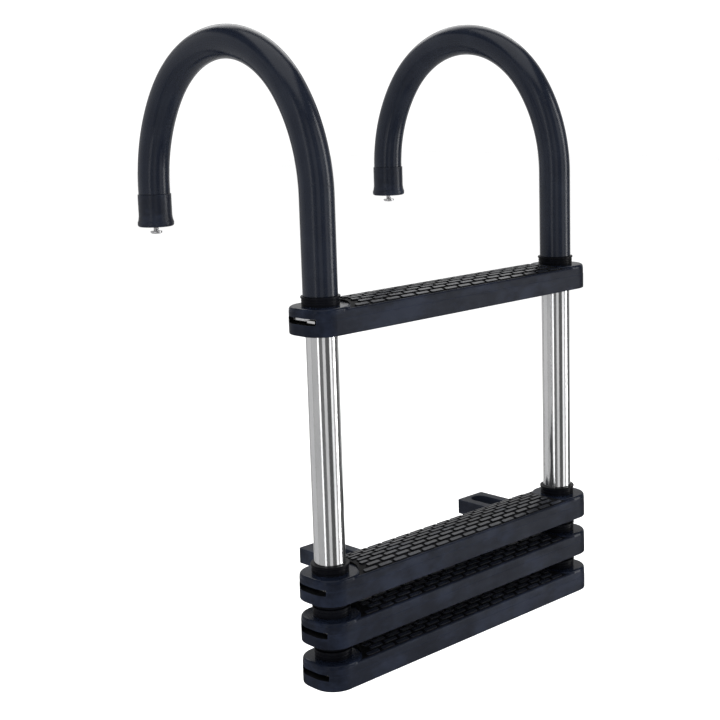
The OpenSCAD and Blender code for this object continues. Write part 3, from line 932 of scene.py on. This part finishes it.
def cap_screw(side, x):
    """Pan-head screw, head down, with a cross recess and a thread on its shank."""
    low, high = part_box(side + "_cap_screw")
    head_r = (high.x - low.x) / 2
    head_top = low.z + 3.2 * MM
    dome_h = 1.7 * MM
    shank_r = 2.95 * MM
    thread_pitch = 0.8 * MM
    recess_depth = 1.5 * MM
    bm = bmesh.new()
    profile = [(1.0 * MM, low.z + 0.05 * MM)]
    for i in range(1, 7):
        t = math.radians(15 * i)
        profile.append((head_r * math.sin(t) ** 0.9, low.z + dome_h * (1 - math.cos(t))))
    profile += fillet(head_r, low.z, head_r, head_top, 0, head_top, 0.25 * MM)
    z = head_top
    profile.append((shank_r, z))
    while z < high.z - 2 * MM:
        profile += [(shank_r, z + 0.15 * MM), (shank_r - 0.35 * MM, z + 0.4 * MM), (shank_r, z + 0.65 * MM)]
        z += thread_pitch
    profile += [(shank_r - 0.6 * MM, high.z)]
    lathe(bm, x, REACH, profile, "capped", FASTENER_SIDES)
    bmesh.ops.recalc_face_normals(bm, faces=bm.faces)
    mesh = bpy.data.meshes.new("screw")
    bm.to_mesh(mesh)
    bm.free()

    def draw_arm(hx, hy):
        return lambda cutter: box_mesh(
            cutter, x - hx, x + hx, REACH - hy, REACH + hy, low.z - MM, low.z + recess_depth)

    mesh = cut(mesh, [draw_arm(3.2 * MM, 0.6 * MM), draw_arm(0.6 * MM, 3.2 * MM)])
    finish_object(
        side + "_cap_screw_turned", mesh, [FASTENER_STEEL], "frame", [side + "_cap_screw"], 30)


# ---------- sliding tubes ----------


def straight_tube(node, body):
    """A straight drawn tube with softened ends."""
    low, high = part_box(node)
    outer = (high.x - low.x) / 2
    inner = outer - TUBE_WALL
    corners = [(inner, low.z), (outer, low.z), (outer, high.z), (inner, high.z)]
    bm = bmesh.new()
    lathe(bm, (low.x + high.x) / 2, 0, rounded(corners, 0.3 * MM))
    finish_mesh(node + "_drawn", bm, [STAINLESS], body, [node], 40)


# ---------- standoffs ----------


def standoff(side):
    """Slotted arm with softened edges round its outline and its slot."""
    node = side + "_standoff"
    low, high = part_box(node)
    cx, cy = (low.x + high.x) / 2, (low.y + high.y) / 2
    hx, hy = (high.x - low.x) / 2, (high.y - low.y) / 2
    slot_hx = 10 * MM
    heel, toe = 4 * MM, 7 * MM
    slot_cy = (low.y + heel + high.y - toe) / 2
    slot_hy = (high.y - toe - low.y - heel) / 2
    edge = 0.9 * MM
    corner = 3 * MM
    turns = [math.radians(90 * i / 4) for i in range(5)]

    def outer_ring(inset, z):
        return outline(cx, cy, hx - inset, hy - inset, corner - inset, z)

    def slot_ring(grow, z):
        return outline(cx, slot_cy, slot_hx + grow, slot_hy + grow, slot_hx + grow, z)

    rings = [outer_ring(edge * (1 - math.sin(t)), low.z + edge * (1 - math.cos(t))) for t in turns]
    rings += [outer_ring(edge * (1 - math.cos(t)), high.z - edge * (1 - math.sin(t))) for t in turns]
    rings += [slot_ring(edge * (1 - math.sin(t)), high.z - edge * (1 - math.cos(t))) for t in turns]
    rings += [slot_ring(edge * (1 - math.cos(t)), low.z + edge * (1 - math.sin(t))) for t in turns]
    bm = bmesh.new()
    skin(bm, rings, "joined")
    finish_mesh(node + "_arm", bm, [ARM_PLASTIC], side + "_standoff_arm", [node], 40)


def hexagon(x, y, z, flat_half, limit):
    """A ring of points on a hexagon, cut back to a circle of radius limit."""
    points = []
    for i in range(FASTENER_SIDES):
        t = 2 * math.pi * i / FASTENER_SIDES
        fold = (t + math.pi / 6) % (math.pi / 3) - math.pi / 6
        r = min(flat_half / math.cos(fold), limit)
        points.append((x + r * math.cos(t), y + r * math.sin(t), z))
    return points


def clamp_xs():
    """Where the two clamps are along X: in the middle of each flanged washer."""
    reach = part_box("standoff_washers")[1].x - FLANGE_R
    return [side * reach for side in SIDES.values()]


def clamp_washers():
    """Flanged washers, each with a boss that fits its standoff's slot."""
    low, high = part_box("standoff_washers")
    boss_r = 9.7 * MM
    bore_r = BOLT_R + 0.05 * MM
    flange_z = low.z + 2 * MM
    corners = [(bore_r, low.z), (FLANGE_R, low.z), (FLANGE_R, flange_z)]
    corners += [(boss_r, flange_z), (boss_r, high.z), (bore_r, high.z)]
    bm = bmesh.new()
    for x in clamp_xs():
        lathe(bm, x, CLAMP_Y, rounded(corners, 0.4 * MM))
    node = "standoff_washers"
    finish_mesh("standoff_washer_mouldings", bm, [COLLAR_PLASTIC], "frame", [node], 40)


def clamp_bolts():
    """Hexagon bolts, heads down, with a thread on the shank."""
    low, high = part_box("standoff_bolts")
    across = 6 * MM
    head_top = low.z + 4 * MM
    thread_pitch = 1.25 * MM
    thread = ((0.0, BOLT_R), (0.3 * MM, BOLT_R), (0.65 * MM, BOLT_R - 0.5 * MM), (MM, BOLT_R))
    bm = bmesh.new()
    for x in clamp_xs():
        rings = [
            hexagon(x, CLAMP_Y, low.z, across, across - 0.6 * MM),
            hexagon(x, CLAMP_Y, low.z + 0.5 * MM, across, across + 0.3 * MM),
            hexagon(x, CLAMP_Y, low.z + MM, across, 2 * across),
            hexagon(x, CLAMP_Y, head_top, across, 2 * across),
        ]
        z = head_top
        while z < high.z - 1.5 * MM:
            rings += [circle(x, CLAMP_Y, z + shift, r, FASTENER_SIDES) for shift, r in thread]
            z += thread_pitch
        rings.append(circle(x, CLAMP_Y, high.z, BOLT_R - 0.8 * MM, FASTENER_SIDES))
        skin(bm, rings, "capped")
    finish_mesh("standoff_bolts_turned", bm, [FASTENER_STEEL], "frame", ["standoff_bolts"], 30)


def clamp_nuts():
    """Captive hexagon nuts with chamfered faces and a sunk bore."""
    low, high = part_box("standoff_nuts")
    across = 6.5 * MM
    chamfer = 0.8 * MM
    sink = 0.4 * MM
    bm = bmesh.new()
    for x in clamp_xs():
        rings = [
            hexagon(x, CLAMP_Y, low.z, across, across - 0.3 * MM),
            hexagon(x, CLAMP_Y, low.z + chamfer, across, 2 * across),
            hexagon(x, CLAMP_Y, high.z - chamfer, across, 2 * across),
            hexagon(x, CLAMP_Y, high.z, across, across - 0.3 * MM),
            circle(x, CLAMP_Y, high.z - sink, BOLT_R, FASTENER_SIDES),
            circle(x, CLAMP_Y, low.z + sink, BOLT_R, FASTENER_SIDES),
        ]
        skin(bm, rings, "joined")
    finish_mesh("standoff_nuts_turned", bm, [FASTENER_STEEL], "frame", ["standoff_nuts"], 30)


# ---------- the ladder ----------

for level in LEVELS:
    step_body(level)
    step_tread(level)
    clips(level)
    for side in SIDES:
        step_collar(level, side)

for side in SIDES:
    hook_pieces(side)
    straight_tube(side + "_middle_tube", "middle_section")
    straight_tube(side + "_inner_tube", "lower_section")
    bush(side + "_rail_guide", "frame", RAIL_R - TUBE_WALL, MIDDLE_R, STEP_Z["second"])
    bush(side + "_middle_guide", "middle_section", MIDDLE_R - TUBE_WALL, INNER_R, STEP_Z["third"])
    plain_ring(side + "_middle_stop", "middle_section", MIDDLE_R, NYLON, 0.3 * MM)
    plain_ring(side + "_inner_stop", "lower_section", INNER_R, NYLON, 0.3 * MM)
    standoff(side)

clamp_washers()
clamp_bolts()
clamp_nuts()

# ---------- studio ----------

CAMERA_AZIMUTH = -42.97


def studio_floor():
    """A pale floor, low enough that the sections still clear it when they are let down."""
    drop = sum(joint["range_m"][1] for joint in frame["joints"] if joint["axis"][2] < 0)
    half = 14.0
    gap, thickness = 10 * MM, 20 * MM
    recipe = Recipe("studio_floor", Specular_IOR_Level=0.1)
    tone = recipe.ramp(recipe.noise(1.5, 3), (0.3, (0.90, 0.90, 0.90)), (0.7, (0.93, 0.93, 0.93)))
    material = recipe.done(tone, 0.9)
    bm = bmesh.new()
    box_mesh(bm, -half, half, -half, half, -drop - gap - thickness, -drop - gap)
    mesh = bpy.data.meshes.new("studio_floor")
    bm.to_mesh(mesh)
    bm.free()
    mesh.materials.append(material)
    floor = bpy.data.objects.new("studio_floor", mesh)
    bpy.context.scene.collection.objects.link(floor)
    floor.visible_glossy = False
    floor.visible_shadow = False


def soft_light(name, place, target, width, height, radiance):
    """A rectangular softbox that the camera doesn't see. An area light of radiance 1 has a power of four
    times its area."""
    data = bpy.data.lights.new(name, "AREA")
    data.shape = "RECTANGLE"
    data.size = width
    data.size_y = height
    data.energy = 4 * width * height * radiance
    light = bpy.data.objects.new(name, data)
    light.location = place
    light.rotation_mode = "QUATERNION"
    light.rotation_quaternion = (Vector(target) - Vector(place)).to_track_quat("-Z", "Y")
    light.visible_camera = False
    bpy.context.scene.collection.objects.link(light)


# Softboxes in a ring round the ladder: name, turn from the camera and width in degrees, radiance
RING_LIGHTS = (
    ("left_wall", -106, 52, 0.50),
    ("left_near", -56, 46, 0.42),
    ("left_strip", -27, 9, 1.7),
    ("left_gap", -10, 20, 0.14),
    ("front_panel", 11, 20, 0.60),
    ("front_gap", 36, 26, 0.09),
    ("right_panel", 58, 16, 1.05),
    ("right_gap", 75, 16, 0.45),
    ("right_strip", 90, 12, 5.0),
    ("right_wall", 113, 34, 0.10),
    ("back_left", -158, 44, 0.45),
    ("back_right", 157, 50, 0.45),
)


def studio_lights():
    """A white world that only lights, with no reflection of its own, and softboxes for the reflections."""
    world = bpy.data.worlds.new("studio")
    world.use_nodes = True
    world.node_tree.nodes["Background"].inputs["Color"].default_value = (1.0, 1.0, 1.0, 1.0)
    world.node_tree.nodes["Background"].inputs["Strength"].default_value = 1.15
    world.cycles_visibility.glossy = False
    bpy.context.scene.world = world
    middle = Vector((0.0, 0.1, 0.9))
    distance = 4.0
    height = 5.0
    for name, turn, width, radiance in RING_LIGHTS:
        heading = math.radians(CAMERA_AZIMUTH + turn)
        place = middle + Vector((distance * math.sin(heading), -distance * math.cos(heading), 0.0))
        across = 2 * distance * math.tan(math.radians(width / 2))
        soft_light(name, place, middle, across, height, radiance)
    soft_light("high_backdrop", (1.5, 1.8, 2.3), (0.0, 0.1, 0.4), width=2.8, height=1.6, radiance=1.5)
    soft_light("overhead", (-0.4, -0.2, 4.0), (0.0, 0.1, 0.5), width=4.0, height=4.0, radiance=1.2)
    soft_light("floor_glow", (0.0, 0.0, -2.5), (0.0, 0.0, 0.0), width=9.0, height=9.0, radiance=0.35)


def studio_camera():
    """The photograph's viewpoint: 43 degrees round from the front and about 10 above level."""
    azimuth, elevation, roll = math.radians(CAMERA_AZIMUTH), math.radians(9.746), math.radians(-1.82)
    reach = math.cos(elevation)
    back = Vector((math.sin(azimuth) * reach, -math.cos(azimuth) * reach, math.sin(elevation)))
    place = Vector((-1.0679, -1.0086, 0.6016))
    right = Vector((0, 0, 1)).cross(back).normalized()
    up = back.cross(right)
    rolled_right = right * math.cos(roll) + up * math.sin(roll)
    rolled_up = up * math.cos(roll) - right * math.sin(roll)
    data = bpy.data.cameras.new("camera")
    data.sensor_width = 36.0
    data.lens = 69.88
    data.shift_y = -1 / 18
    data.clip_end = 100.0
    camera = bpy.data.objects.new("camera", data)
    turn = Matrix((rolled_right, rolled_up, back)).transposed().to_4x4()
    camera.matrix_world = Matrix.Translation(place) @ turn
    bpy.context.scene.collection.objects.link(camera)
    bpy.context.scene.camera = camera


studio_floor()
studio_lights()
studio_camera()
bpy.context.scene.view_settings.view_transform = "Standard"
